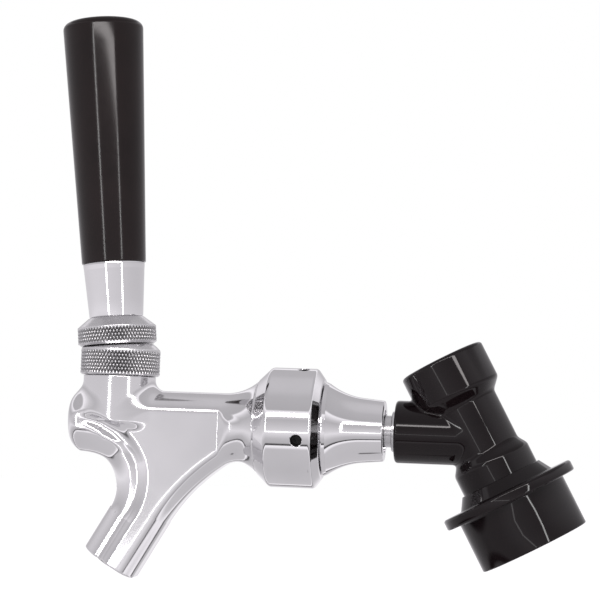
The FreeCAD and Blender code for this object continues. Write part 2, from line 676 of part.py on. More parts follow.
def flare_stub():
    low = BELL_END_X - STUB_SOCKET_DEPTH + STUB_SEAL_T
    groove = ARM_X + STUB_GROOVE
    stub = turned([
        (STUB_BORE_R, low), (STUB_R, low, 0.4), (STUB_R, STUB_FLANGE_X),
        (STUB_FLANGE_R, STUB_FLANGE_X, 0.3), (STUB_FLANGE_R, ARM_X), (STUB_R, ARM_X),
        (STUB_R, groove - ORING_WIRE - 0.1), (groove_root(), groove - ORING_WIRE - 0.1),
        (groove_root(), groove + ORING_WIRE + 0.1), (STUB_R, groove + ORING_WIRE + 0.1),
        (STUB_R, ARM_X + STUB_SPIGOT, 0.4), (STUB_BORE_R, ARM_X + STUB_SPIGOT)])
    for cut in thread_cuts(STUB_R, low + 0.6, BELL_END_X - BELL_RECESS, STUB_THREAD_PITCH):
        stub = stub.cut(cut)
    return along_shank(stub)


def stub_o_ring():
    return along_shank(o_ring(groove_root() + ORING_WIRE, ORING_WIRE, ARM_X + STUB_GROOVE))


# ---- keg disconnect --------------------------------------------------------------------------------
def ball_angles():
    """Angles of the lock balls round the disconnect's axis."""
    return [60 + 360 / LOCK_BALLS * i for i in range(LOCK_BALLS)]


def disconnect_body():
    outside = turned([
        (0, 0), (SOCKET_OUTER_R, 0, 0.3), (SOCKET_OUTER_R, SHOULDER_LOW),
        (SHOULDER_R, SHOULDER_LOW), (SHOULDER_R, SHOULDER_TOP, 1.2), (COLUMN_R, COLUMN_LOW, 1.5),
        (COLUMN_R, HEAD_CONE_LOW, 1.5), (HEAD_R, HEAD_LOW, 1.2), (HEAD_R, QD_HEIGHT, HEAD_EDGE),
        (0, QD_HEIGHT)])
    arm = along_shank(turned([
        (0, ARM_X), (ARM_R, ARM_X, ARM_EDGE), (ARM_R, QD_CROSS_X), (0, QD_CROSS_X)]))
    body = on_disconnect(outside).fuse(arm).removeSplitter()
    hollow = on_disconnect(turned([
        (0, -1), (MOUTH_R, -1), (MOUTH_R, MOUTH_DEPTH), (SOCKET_R, MOUTH_DEPTH + 0.25),
        (SOCKET_R, SOCKET_DEPTH), (POST_BORE_R, SOCKET_DEPTH + 1.0), (POST_BORE_R, FLOOR_LOW),
        (SEAT_HOLE_R, FLOOR_LOW), (SEAT_HOLE_R, FLOOR_TOP), (CHAMBER_QD_R, FLOOR_TOP),
        (CHAMBER_QD_R, CAP_SEAT), (CAP_R, CAP_SEAT), (CAP_R, QD_HEIGHT + 1), (0, QD_HEIGHT + 1)]))
    feed = Part.makeCylinder(ARM_FEED_R, QD_CROSS_X - ARM_X, V(ARM_X, 0, 0), V(1, 0, 0))
    spigot = Part.makeCylinder(STUB_R + SLIP_GAP, STUB_SPIGOT, V(ARM_X, 0, 0), V(1, 0, 0))
    body = body.cut(hollow).cut(feed).cut(spigot)
    for angle in ball_angles():
        window = rod(LOCK_BALL_R + BALL_GAP, 0, SOCKET_OUTER_R)
        window = window.fuse(Part.makeSphere(LOCK_BALL_R + BALL_GAP))
        window.rotate(V(), V(0, 1, 0), 90)
        window.translate(V(LOCK_BALL_RADIUS, 0, LOCK_BALL_H))
        window.rotate(V(), V(0, 0, 1), angle)
        body = body.cut(on_disconnect(window))
    return body


def disconnect_cap():
    top = QD_HEIGHT - CAP_SUNK
    low = CAP_SEAT + 2 * CAP_RING_WIRE
    radius = CAP_R - THREAD_GAP
    cap = turned([
        (0, low), (CAP_POCKET_R, low), (CAP_POCKET_R, low - CAP_BOSS), (CAP_BOSS_R, low - CAP_BOSS),
        (CAP_BOSS_R, low), (radius, low), (radius, top, 0.5), (0, top)])
    for cut in thread_cuts(radius, low + 0.3, top - 0.8, CAP_THREAD_PITCH):
        cap = cap.cut(cut)
    width, length, depth = CAP_SLOT
    slot = Part.makeBox(width, length, 2 * depth, V(-width / 2, -length / 2, top - depth))
    return on_disconnect(cap.cut(slot))


def cap_seal():
    return on_disconnect(o_ring(CAP_R - CAP_RING_WIRE - SLIP_GAP, CAP_RING_WIRE - BALL_GAP,
                                CAP_SEAT + CAP_RING_WIRE))


def cam_radius(height):
    """Inside radius of the sleeve's cam, which lets the balls move out as it lifts."""
    return CAM_R + CAM_SLOPE * (LOCK_BALL_H - height)


def release_sleeve():
    flange_low, flange_top = SLEEVE_FLANGE
    sleeve = turned([
        (cam_radius(0), 0), (SLEEVE_SKIRT_R, 0, 0.4), (SLEEVE_SKIRT_R, flange_low, 0.5),
        (SLEEVE_FLANGE_R, flange_low, 0.6), (SLEEVE_FLANGE_R, flange_top, 0.9),
        (SLEEVE_FLARE_R, flange_top, 0.8), (SLEEVE_BORE_R + SLEEVE_LIP, SLEEVE_TOP, 0.25),
        (SLEEVE_BORE_R, SLEEVE_TOP), (SLEEVE_BORE_R, SLEEVE_LEDGE),
        (SOCKET_OUTER_R + FACE_GAP, SLEEVE_LEDGE), (SOCKET_OUTER_R + FACE_GAP, CAM_TOP)])
    inner, outer, depth = SLEEVE_POCKET
    inner, outer = SLEEVE_BORE_R + inner, SLEEVE_BORE_R + outer
    groove = tube(outer, inner, -1, depth)
    for i in range(SLEEVE_RIBS):
        rib = Part.makeBox(outer + 1, SLEEVE_RIB_W, depth + 2, V(0, -SLEEVE_RIB_W / 2, -1))
        rib.rotate(V(), V(0, 0, 1), 360 / SLEEVE_RIBS * i)
        groove = groove.cut(rib)
    return on_disconnect(sleeve.cut(groove))


def sleeve_spring():
    middle = (SOCKET_OUTER_R + SLEEVE_BORE_R) / 2
    return on_disconnect(coil_spring(middle, SLEEVE_SPRING_WIRE, SLEEVE_LEDGE, SHOULDER_LOW,
                                     SLEEVE_SPRING_TURNS))


def locking_ball(angle):
    ball = Part.makeSphere(LOCK_BALL_R, V(LOCK_BALL_RADIUS, 0, LOCK_BALL_H))
    ball.rotate(V(), V(0, 0, 1), angle)
    return on_disconnect(ball)


def poppet():
    disc_low = FLOOR_TOP + POPPET_SEAL_T
    disc_top = disc_low + POPPET_DISC_T
    return on_disconnect(turned([
        (0, POPPET_FOOT_LOW), (POPPET_FOOT_R, POPPET_FOOT_LOW, 0.5),
        (POPPET_FOOT_R, POPPET_FOOT_LOW + POPPET_FOOT_T, 0.3),
        (POPPET_ROD_R, POPPET_FOOT_LOW + POPPET_FOOT_T), (POPPET_ROD_R, disc_low),
        (POPPET_DISC_R, disc_low, 0.3), (POPPET_DISC_R, disc_top), (POPPET_GUIDE_R, disc_top),
        (POPPET_GUIDE_R, disc_top + POPPET_GUIDE, 0.6), (0, disc_top + POPPET_GUIDE)]))


def poppet_seal():
    return on_disconnect(tube(POPPET_SEAL_R, POPPET_ROD_R + BALL_GAP, FLOOR_TOP,
                              FLOOR_TOP + POPPET_SEAL_T, 0.4))


def poppet_spring():
    low = FLOOR_TOP + POPPET_SEAL_T + POPPET_DISC_T
    high = CAP_SEAT + 2 * CAP_RING_WIRE
    return on_disconnect(coil_spring(POPPET_SPRING_R, POPPET_SPRING_WIRE, low, high,
                                     POPPET_SPRING_TURNS))


# ---- all sub-parts ---------------------------------------------------------------------------------
def sub_parts():
    """Name and solid of every sub-part, in the tap frame."""
    made = {
        "faucet_body": faucet_body(),
        "ball_seat_ring": ball_seat_ring(),
        "friction_washer": friction_washer(),
        "compression_bushing": compression_bushing(),
        "bonnet": bonnet(),
        "lever": lever(),
        "lever_collar": lever_collar(),
        "handle_ferrule": handle_ferrule(),
        "threaded_insert": threaded_insert(),
        "handle_grip": handle_grip(),
        "valve_shaft": valve_shaft(),
        "seat_washer": seat_washer(),
        "backing_washer": backing_washer(),
        "shaft_nut": shaft_nut(),
        "coupling_nut": coupling_nut(),
        "coupling_gasket": coupling_gasket(),
        "adapter_body": adapter_body(),
        "nut_retaining_ring": nut_retaining_ring(),
        "flare_washer": flare_washer(),
        "flare_stub": flare_stub(),
        "stub_o_ring": stub_o_ring(),
        "disconnect_body": disconnect_body(),
        "disconnect_cap": disconnect_cap(),
        "cap_seal": cap_seal(),
        "release_sleeve": release_sleeve(),
        "sleeve_spring": sleeve_spring(),
        "poppet": poppet(),
        "poppet_seal": poppet_seal(),
        "poppet_spring": poppet_spring(),
    }
    for number, angle in enumerate(ball_angles(), start=1):
        made[f"locking_ball_{number}"] = locking_ball(angle)
    return made


def main():
    os.makedirs(OUT, exist_ok=True)
    for name, shape in sub_parts().items():
        placed = shape.copy()
        placed.translate(-MOUTH)
        placed.exportStep(os.path.join(OUT, name + ".step"))
        print(f"{name}: {len(placed.Solids)} solid, valid {placed.isValid()}, {placed.Volume:.1f} mm3")
    print("mouth in the tap frame:", [round(c, 3) for c in MOUTH])
    print("pivot:", [round(c, 3) for c in PIVOT - MOUTH])


main()
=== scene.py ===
"""The visual model of a beer faucet on a keg disconnect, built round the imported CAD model.

Shapes are worked out in millimetres in the tap frame, where +X runs along the shank axis from the
spout to the disconnect and +Z is up, and are then moved into the model's own frame in metres. Lever
pieces are made round the lever's own axis and disconnect pieces round the disconnect's own. A turned
profile lists its corners as (radius, height) or, with a rounded corner, (radius, height, fillet).
"""

import json
import math

import bpy
import numpy as np
from mathutils import Matrix, Vector

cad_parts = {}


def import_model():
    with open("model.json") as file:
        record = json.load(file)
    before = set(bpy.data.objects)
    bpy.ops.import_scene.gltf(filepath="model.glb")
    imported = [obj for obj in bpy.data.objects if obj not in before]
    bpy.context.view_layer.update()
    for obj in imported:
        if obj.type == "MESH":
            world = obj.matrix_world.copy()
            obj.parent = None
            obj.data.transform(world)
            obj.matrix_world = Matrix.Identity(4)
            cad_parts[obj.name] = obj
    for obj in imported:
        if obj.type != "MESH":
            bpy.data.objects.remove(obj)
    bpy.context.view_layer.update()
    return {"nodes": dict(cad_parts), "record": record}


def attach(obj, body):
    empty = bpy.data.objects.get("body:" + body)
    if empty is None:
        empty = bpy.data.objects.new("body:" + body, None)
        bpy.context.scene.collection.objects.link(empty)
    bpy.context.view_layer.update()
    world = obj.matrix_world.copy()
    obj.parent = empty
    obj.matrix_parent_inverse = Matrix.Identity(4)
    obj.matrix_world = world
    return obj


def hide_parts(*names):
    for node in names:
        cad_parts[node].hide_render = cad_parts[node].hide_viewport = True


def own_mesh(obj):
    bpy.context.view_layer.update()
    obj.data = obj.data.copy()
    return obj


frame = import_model()
NODES = frame["nodes"]
STEP = 0.34      # of the grids for the cast and moulded shapes

# ---- places, the same as the CAD model's ---------------------------------------------------------
ORIGIN, SHANK, UP = (0, 0, 0), (1, 0, 0), (0, 0, 1)
PIVOT = np.array([-57.2, 0.0, 11.0])    # centre of the lever's ball, on the neck's axis
LEVER_LEAN = math.radians(5.2)
QD_LEAN = math.radians(28.5)
QD_CROSS_X, QD_CROSS_H = 55.5, 38.0     # where the disconnect's axis crosses the shank axis
MOUTH = np.array([QD_CROSS_X + math.sin(QD_LEAN) * QD_CROSS_H, 0.0, -math.cos(QD_LEAN) * QD_CROSS_H])

# ---- faucet body ---------------------------------------------------------------------------------
BARREL_R, BARREL_MIDDLE_X, BARREL_END_X = 9.95, -30.0, -2.0
NOSE_R, NOSE_X, NOSE_ROUND = 9.0, -71.8, 3.6
FLARE_X, FLARE_LENGTH, FLARE_CURVE, FLARE_R = -23.5, 10.7, 16.0, 14.0
MAIN_BORE_R, MAIN_BORE_X = 5.2, -67.0
CHAMBER_R, SEAT_X = 9.2, -13.0
NECK_R, NECK_TOP = 11.3, 14.2
SPIGOT_R, SPIGOT_TOP = 9.9, 18.4        # of the neck's thread, as a plain cylinder
NECK_BORE_R, NECK_FLOOR, NECK_BORE_TOP = 8.3, 5.9, 20.0
TAIL_HOLE_R, TAIL_HOLE_TOP = 5.8, 8.0

SPOUT_END = np.array([-57.8, 0.0, -43.8])
SPOUT_LEAN = math.pi / 6
SPOUT_AXIS = np.array([0.5, 0.0, math.sqrt(0.75)])
SPOUT_R, SPOUT_EDGE = 9.25, 0.5
SPOUT_BORE_R, SPOUT_BORE_DEPTH = 6.0, 20.0
SPOUT_FEED_R, SPOUT_FEED_DEPTH = 5.0, 49.0
FRONT_BEND, FRONT_OUTLINE = np.array([-68.5, -20.5]), 11.9
REAR_BEND, REAR_OUTLINE = np.array([11.5, -61.4]), 59.7
REAR_TANGENT = 20.0             # along the spout, from its mouth to the start of the rear bend
TUBE_R = 7.9                    # of the round front edge
TUBE_TOP, TUBE_TOP_ROUND = 1.62, 1.5    # angle on the front bend at which it ends inside the nose
WEB_HALF, WEB_TOP, WEB_FRONT_X = 8.9, 1.0, -64.5
WEB_REAR_ROUND, WEB_ROUND = 6.2, 1.2
CREASE_ASIDE, CREASE_R = 2.3, 18.6      # in front of the spout's axis, and about the front bend
CREASE_DRIFT, CREASE_TURN = 2.3, 0.9    # out of the bend's circle, and the angle over which it drifts
CREASE_FILLET, BARREL_FILLET, NECK_FILLET = 0.9, 2.6, 3.4
FACE_DEPTH = 0.5                # of the flat sides below the skin they are cut from
FACE_FRONT_X, FACE_BACK_X = -60.0, -24.0
FACE_SLOPE, FACE_RISE = 0.6, 6          # at which the flat sides run out past their ends
GROOVE_OUT, GROOVE_R, GROOVE_EDGE = 9.8, 2.0, 1.6       # beside the crease
GROOVE_SLOPE, GROOVE_RISE = 0.2, 2.2    # at which it runs out towards the nose

# ---- lever parts, heights measured from the pivot --------------------------------------------------
KNURLS, KNURL_PITCH, KNURL_DEPTH = 72, 2.1, 0.42
KNURL_FADE, KNURL_FLANK = 0.35, 1.35
BONNET_R, BONNET_LOW, BONNET_TOP = 12.4, 3.35, 11.5
BONNET_BORE_R, BONNET_SHOULDER, BONNET_CHAMFER = 10.26, 9.4, 0.45
DOME_R = math.hypot(BONNET_R, BONNET_TOP)
SWING_HOLE_R, SWING_SLOPE, SWING_LOW = 5.45, 0.42, 2.9
BONNET_HOLE_R = SWING_HOLE_R + SWING_SLOPE * (BONNET_SHOULDER - SWING_LOW) + 0.15
COLLAR_R, COLLAR_LOW, COLLAR_KNURL_TOP = 12.3, 13.0, 18.6
COLLAR_BORE_R, COLLAR_TOP, COLLAR_TOP_R = 4.82, 21.5, 8.7
COLLAR_HOLLOW_R = DOME_R + 0.4
FERRULE_TOP, FERRULE_FLOOR, FERRULE_BORE_R, FERRULE_HOLE_R = 38.7, 24.1, 7.0, 4.86
GRIP_TOP, GRIP_TOP_R, GRIP_LOW_R, GRIP_STEM_R = 115.9, 12.75, 10.05, 6.9
INSERT_BORE_R, INSERT_LOW, INSERT_TOP = 5.82, 25.3, 41.6

# ---- coupling nut and adapter ----------------------------------------------------------------------
NUT_R, NUT_FRONT, NUT_BACK = 18.5, -12.4, 7.9
NUT_FRONT_CHAMFER, NUT_BACK_CHAMFER = (3.9, 3.8), (2.4, 3.3)    # along the axis, and inwards
NUT_FRONT_RIM, NUT_BACK_RIM = 14.6, 15.2
NUT_BORE_R, NUT_LIP_X, NUT_HOLE_R = 14.35, 3.3, 11.3
NUT_EDGE = 0.5
SPANNER_HOLES, SPANNER_R, SPANNER_X, SPANNER_BOTTOM, SPANNER_FIRST = 4, 1.75, 1.5, 15.2, -12.0
STEM_FRONT, STEM_R, STEM_BORE_R, STEM_BORE_END = -0.4, 11.2, 6.5, 10.1
RING_SLOT_R, RING_SLOT = 10.2, (1.7, 3.4)
FEED_R, FEED_END = 3.0, 14.75
BELL_X = 8.15
BELL_END = BELL_X + 18.6
BELL_RECESS_R, BELL_RECESS, STUB_HOLE_R = 6.6, 0.7, 4.96

# ---- keg disconnect, heights measured up its axis from the socket's mouth --------------------------
QD_HEIGHT, QD_EDGE = 63.5, 1.0
SOCKET_OUTER_R, SHOULDER_R, COLUMN_R, HEAD_R = 11.3, 12.3, 10.5, 13.5
QD_OUTLINE = ((22.1, SOCKET_OUTER_R), (22.2, SHOULDER_R), (29.5, SHOULDER_R), (32.2, COLUMN_R),
              (48.3, COLUMN_R), (51.6, HEAD_R))     # (height, radius)
QD_BLUR = 15                    # samples over which the outline's corners are rounded
ARM_X, ARM_R, ARM_EDGE, ARM_FILLET = 30.05, 9.6, 1.0, 0.7
ARM_FEED_R, ARM_SOCKET_R, ARM_SOCKET_DEPTH = 3.2, 5.0, 8.7
MOUTH_R, MOUTH_DEPTH = 9.1, 2.8
SOCKET_R, SOCKET_DEPTH = 8.85, 10.5
POST_BORE_R, FLOOR_LOW, FLOOR_TOP = 7.5, 19.0, 21.8
SEAT_HOLE_R, QD_CHAMBER_R = 3.6, 7.4
CAP_BORE_R, CAP_SEAT = 10.6, 54.6
LOCK_BALLS, LOCK_BALL_OUT, LOCK_BALL_H, LOCK_POCKET_R = 3, 9.9, 5.2, 1.8

SLEEVE_BORE_R, SLEEVE_LEDGE_R, SLEEVE_LEDGE = 12.45, 11.45, 11.5
SKIRT_R, FLANGE_R, FLANGE_LOW, FLANGE_TOP, SLEEVE_TOP = 17.35, 21.4, 15.8, 19.2, 23.1
SLEEVE_GROOVE, SLEEVE_GROOVE_TOP = (14.4, 15.7), 13.0   # inner and outer radius, under the sleeve
SLEEVE_RIBS, RIB_HALF, RIB_LOW, RIB_SUNK = 6, 0.7, 0.6, 0.1


# ---- placing -------------------------------------------------------------------------------------
def turn_y(points, angle):
    """Points turned so that their +Z leans towards -X by the angle."""
    c, s = math.cos(angle), math.sin(angle)
    x, y, z = points[:, 0], points[:, 1], points[:, 2]
    return np.stack([x * c - z * s, y, x * s + z * c], axis=1)


def to_model(points):
    """Tap-frame millimetres to the model's frame in metres."""
    return (points - MOUTH) / 1000.0


def on_lever(points):
    return to_model(turn_y(points, LEVER_LEAN) + PIVOT)


def on_neck(points):
    return to_model(points + PIVOT)


def on_disconnect(points):
    return turn_y(points, QD_LEAN) / 1000.0


def along_shank(points):
    """Heights become x along the shank axis."""
    return to_model(np.stack([points[:, 2], points[:, 1], -points[:, 0]], axis=1))


# ---- turned and coiled meshes ----------------------------------------------------------------------
def mesh_object(name, points, faces, crease=None, normals=None):
    """A smooth-shaded object, sharp above the crease angle in degrees or with the given normals."""
    mesh = bpy.data.meshes.new(name)
    mesh.from_pydata([tuple(p) for p in points], [], [tuple(int(i) for i in f) for f in faces])
    mesh.update()
    mesh.shade_smooth()
    if crease is not None:
        mesh.set_sharp_from_angle(angle=math.radians(crease))
    if normals is not None:
        mesh.normals_split_custom_set_from_vertices([tuple(n) for n in normals])
    obj = bpy.data.objects.new(name, mesh)
    bpy.context.scene.collection.objects.link(obj)
    return obj


def rounded(corners, steps):
    """Profile points from (radius, height[, fillet]) corners, with each fillet as an arc."""
    out = []
    for i, corner in enumerate(corners):
        point = np.array(corner[:2], dtype=float)
        fillet = corner[2] if len(corner) > 2 else 0.0
        if not fillet:
            out.append(point)
            continue
        before = np.array(corners[i - 1][:2], dtype=float) - point
        after = np.array(corners[(i + 1) % len(corners)][:2], dtype=float) - point
        before /= np.linalg.norm(before)
        after /= np.linalg.norm(after)
        half = math.acos(max(-1.0, min(1.0, float(before @ after)))) / 2
        reach = fillet / math.tan(half)
        middle = before + after
        centre = point + middle / np.linalg.norm(middle) * (fillet / math.sin(half))
        first = point + before * reach - centre
        last = point + after * reach - centre
        sweep = math.pi - 2 * half
        turn = math.copysign(1.0, first[0] * last[1] - first[1] * last[0])
        for k in range(steps + 1):
            a = turn * sweep * k / steps
            c, s = math.cos(a), math.sin(a)
            out.append(centre + np.array([first[0] * c - first[1] * s, first[0] * s + first[1] * c]))
    return np.array(out)


def refine(profile, longest):
    """The closed profile with its long runs divided."""
    out = []
    for i, point in enumerate(profile):
        following = profile[(i + 1) % len(profile)]
        pieces = max(1, int(math.ceil(np.linalg.norm(following - point) / longest)))
        out += [point + (following - point) * k / pieces for k in range(pieces)]
    return np.array(out)


def lathe(name, corners, place, segments=192, crease=28.0, longest=6.0, shift=None, steps=7):
    """A turned solid from a closed profile; shift(radius, angle, height) may move its surface.

    A profile point on the axis makes one vertex. A shifted solid keeps how far each vertex is sunk
    in its attribute "groove".
    """
    profile = refine(rounded(corners, steps), longest)
    rings = len(profile)
    angles = np.linspace(0, 2 * math.pi, segments, endpoint=False)
    radius = np.repeat(profile[:, 0][:, None], segments, axis=1)
    height = np.repeat(profile[:, 1][:, None], segments, axis=1)
    angle = np.repeat(angles[None, :], rings, axis=0)
    depth = np.zeros_like(radius) if shift is None else shift(radius, angle, height)
    radius = radius + depth
    on_axis = profile[:, 0] < 1e-6
    points, index, sunk = [], np.zeros((rings, segments), dtype=int), []
    for i in range(rings):
        if on_axis[i]:
            index[i, :] = len(points)
            points.append((0.0, 0.0, profile[i, 1]))
            sunk.append(0.0)
            continue
        sunk += list(-depth[i])
        index[i] = np.arange(segments) + len(points)
        points += list(zip(radius[i] * np.cos(angle[i]), radius[i] * np.sin(angle[i]), height[i]))
    faces = []
    for i in range(rings):
        following = (i + 1) % rings
        if on_axis[i] and on_axis[following]:
            continue
        a, b = index[i], index[following]
        for p, q, r, s in zip(a, np.roll(a, -1), np.roll(b, -1), b):
            face = [p] + [v for v in (q, r, s) if v != p]
            face = [v for k, v in enumerate(face) if v != face[k - 1]]
            if len(face) > 2:
                faces.append(face)
    area = sum(p[0] * q[1] - q[0] * p[1] for p, q in zip(profile, np.roll(profile, -1, axis=0)))
    if area < 0:
        faces = [f[::-1] for f in faces]
    obj = mesh_object(name, place(np.array(points)), faces, crease)
    if shift is not None:
        obj.data.attributes.new("groove", "FLOAT", "POINT").data.foreach_set("value", sunk)
    return obj


def coil(name, middle, wire, low, high, turns, place, per_turn=40, around=12):
    """A round-wire compression spring with closed ends."""
    count = int(turns * per_turn)
    t = np.linspace(0, 1, count + 1)
    dead = 1.0 / turns
    climb = np.clip((t - dead) / (1 - 2 * dead), 0, 1)
    inner = 2.0 * wire * (np.clip(t / dead, 0, 1) + np.clip((t - 1 + dead) / dead, 0, 1))
    height = low + wire + inner + climb * (high - low - 6 * wire)
    angle = 2 * math.pi * turns * t
    points, faces = [], []
    for a, z in zip(angle, height):
        for k in range(around):
            b = 2 * math.pi * k / around
            r = middle + wire * math.cos(b)
            points.append((r * math.cos(a), r * math.sin(a), z + wire * math.sin(b)))
    for i in range(count):
        for k in range(around):
            k2 = (k + 1) % around
            faces.append((i * around + k, (i + 1) * around + k, (i + 1) * around + k2, i * around + k2))
    faces.append(tuple(range(around)))
    faces.append(tuple(range(count * around, (count + 1) * around))[::-1])
    return mesh_object(name, place(np.array(points)), faces, 60.0)


# ---- distance fields -------------------------------------------------------------------------------
def union(first, *others):
    for other in others:
        first = np.minimum(first, other)
    return first


def join(a, b, r):
    """Union of two distance fields with a round fillet."""
    return np.maximum(np.minimum(a, b), r) - np.hypot(np.maximum(r - a, 0), np.maximum(r - b, 0))


def meet(a, b, r):
    """Intersection with a rounded edge."""
    return np.minimum(np.maximum(a, b), -r) + np.hypot(np.maximum(r + a, 0), np.maximum(r + b, 0))


def cut(a, b, r):
    """a without b, with a rounded edge."""
    return meet(a, -b, r)


def cylinder(x, y, z, start, axis, radius, low, high, edge=0.0):
    """Distance to a cylinder along an axis from a start point, between two lengths."""
    dx, dy, dz = x - start[0], y - start[1], z - start[2]
    along = dx * axis[0] + dy * axis[1] + dz * axis[2]
    out = np.sqrt(np.maximum(dx * dx + dy * dy + dz * dz - along * along, 0))
    return meet(out - radius, np.maximum(low - along, along - high), edge)


def chamfer(outward, inward, run, drop):
    """Distance to a cone that gives up the drop in radius over the run of length."""
    turn = math.atan2(run, drop)
    return outward * math.sin(turn) - inward * math.cos(turn)


# ---- meshes of distance fields ---------------------------------------------------------------------
CORNERS = [(i, j, k) for i in (0, 1) for j in (0, 1) for k in (0, 1)]


def net(grid):
    """The grid's zero surface: a point for each cell it crosses and a face for each grid edge.

    The points are in grid units, each amid the crossings on its cell's edges.
    """
    inside = grid < 0
    shape = tuple(n - 1 for n in grid.shape)
    some = np.zeros(shape, dtype=bool)
    every = np.ones(shape, dtype=bool)
    for i, j, k in CORNERS:
        corner = inside[i:i + shape[0], j:j + shape[1], k:k + shape[2]]
        some |= corner
        every &= corner
    cells = np.argwhere(some & ~every)
    number = -np.ones(shape, dtype=int)
    number[tuple(cells.T)] = np.arange(len(cells))

    total, hits = np.zeros((len(cells), 3)), np.zeros(len(cells))
    for a in CORNERS:
        for b in CORNERS:
            if sum(b) - sum(a) != 1 or any(q < p for p, q in zip(a, b)):
                continue
            fa = grid[tuple((cells + a).T)]
            fb = grid[tuple((cells + b).T)]
            crossing = (fa < 0) != (fb < 0)
            share = np.where(crossing, fa / np.where(crossing, fa - fb, 1), 0)
            spot = np.array(a) + share[:, None] * (np.array(b) - np.array(a))
            total += np.where(crossing[:, None], spot, 0)
            hits += crossing

    faces = []
    for axis in range(3):
        u, v = (axis + 1) % 3, (axis + 2) % 3
        change = np.diff(inside.astype(np.int8), axis=axis)
        spots = np.argwhere(change != 0)
        spots = spots[(spots[:, u] > 0) & (spots[:, v] > 0)
                      & (spots[:, u] < shape[u]) & (spots[:, v] < shape[v])]
        sign = change[tuple(spots.T)]
        du, dv = np.zeros(3, dtype=int), np.zeros(3, dtype=int)
        du[u], dv[v] = 1, 1
        quad = np.stack([number[tuple((spots - d).T)] for d in (du + dv, dv, 0 * du, du)], axis=1)
        quad[sign > 0] = quad[sign > 0][:, ::-1]
        faces.append(quad)
    return cells + total / hits[:, None], np.concatenate(faces)


def settle(points, field, limit, tiny=0.01):
    """The points moved onto the field's zero surface, by no more than the limit, and their normals."""
    def value(p):
        return field(p[:, 0], p[:, 1], p[:, 2])

    def gradient(p):
        parts = []
        for axis in range(3):
            shift = np.zeros(3)
            shift[axis] = tiny
            parts.append((value(p + shift) - value(p - shift)) / (2 * tiny))
        return np.stack(parts, axis=1)
    start = points.copy()
    for _ in range(4):
        slope = gradient(points)
        size = np.maximum((slope ** 2).sum(axis=1), 0.05)
        moved = points - (value(points) / size)[:, None] * slope
        points = start + np.clip(moved - start, -limit, limit)
    slope = gradient(points)
    slope /= np.maximum(np.linalg.norm(slope, axis=1), 1e-6)[:, None]
    return points, slope


def surface(name, field, low, high):
    """A mesh of the field's zero surface inside a box."""
    axes = [np.arange(l, h + STEP, STEP) for l, h in zip(low, high)]
    spots, faces = net(field(*np.meshgrid(*axes, indexing="ij")))
    points, normals = settle(np.array(low) + spots * STEP, field, 0.6 * STEP)
    return mesh_object(name, to_model(points), faces, None, normals)


# ---- cast and moulded shapes -----------------------------------------------------------------------
def barrel_radius(x):
    """Outside radius of the faucet's barrel along the shank axis."""
    taper = BARREL_R - (BARREL_R - NOSE_R) * np.clip((PIVOT[0] - x) / (PIVOT[0] - NOSE_X), 0, 1)
    reach = np.clip(x - FLARE_X, 0, FLARE_LENGTH)
    flare = FLARE_CURVE - np.sqrt(np.maximum(FLARE_CURVE ** 2 - reach ** 2, 0))
    return np.minimum(taper + flare, FLARE_R)


def barrel_field(x, y, z):
    """Barrel with a rounded nose and a plain end inside the coupling nut."""
    skin = np.hypot(y, z) - barrel_radius(x)
    return np.where(x > BARREL_MIDDLE_X, np.maximum(skin, x - BARREL_END_X),
                    meet(skin, NOSE_X - x, NOSE_ROUND))


def spout_field(x, y, z):
    """Round front edge and the web behind it, down to the mouth, and the field of their crease."""
    dx, dz = x - SPOUT_END[0], z - SPOUT_END[2]
    along = dx * SPOUT_AXIS[0] + dz * SPOUT_AXIS[2]
    aside = dx * SPOUT_AXIS[2] - dz * SPOUT_AXIS[0]
    fx, fz = x - FRONT_BEND[0], z - FRONT_BEND[1]
    from_bend = np.hypot(fx, fz)
    angle = np.arctan2(fz, fx)
    on_bend = angle > -SPOUT_LEAN

    outline = np.where(on_bend, from_bend - FRONT_OUTLINE, aside + SPOUT_R)
    tube = np.hypot(outline - TUBE_R, y) - TUBE_R
    past_top = (angle - TUBE_TOP) * 20.0        # about its length along the bend
    tube = meet(tube, np.where(angle > 0, past_top, -1.0), TUBE_TOP_ROUND)
    tube = meet(tube, -along, SPOUT_EDGE)

    drift = CREASE_DRIFT * np.clip((angle + SPOUT_LEAN) / CREASE_TURN, 0, 1)
    crease = np.where(on_bend, from_bend - CREASE_R - drift, aside + CREASE_ASIDE)
    rear = np.where(along < REAR_TANGENT, aside - SPOUT_R,
                    REAR_OUTLINE - np.hypot(x - REAR_BEND[0], z - REAR_BEND[1]))
    web = meet(rear, np.abs(y) - WEB_HALF - FACE_DEPTH, WEB_REAR_ROUND)
    web = meet(web, np.maximum(np.maximum(-crease, z - WEB_TOP), WEB_FRONT_X - x), WEB_ROUND)
    web = meet(web, -along, SPOUT_EDGE)
    return join(tube, web, CREASE_FILLET), crease


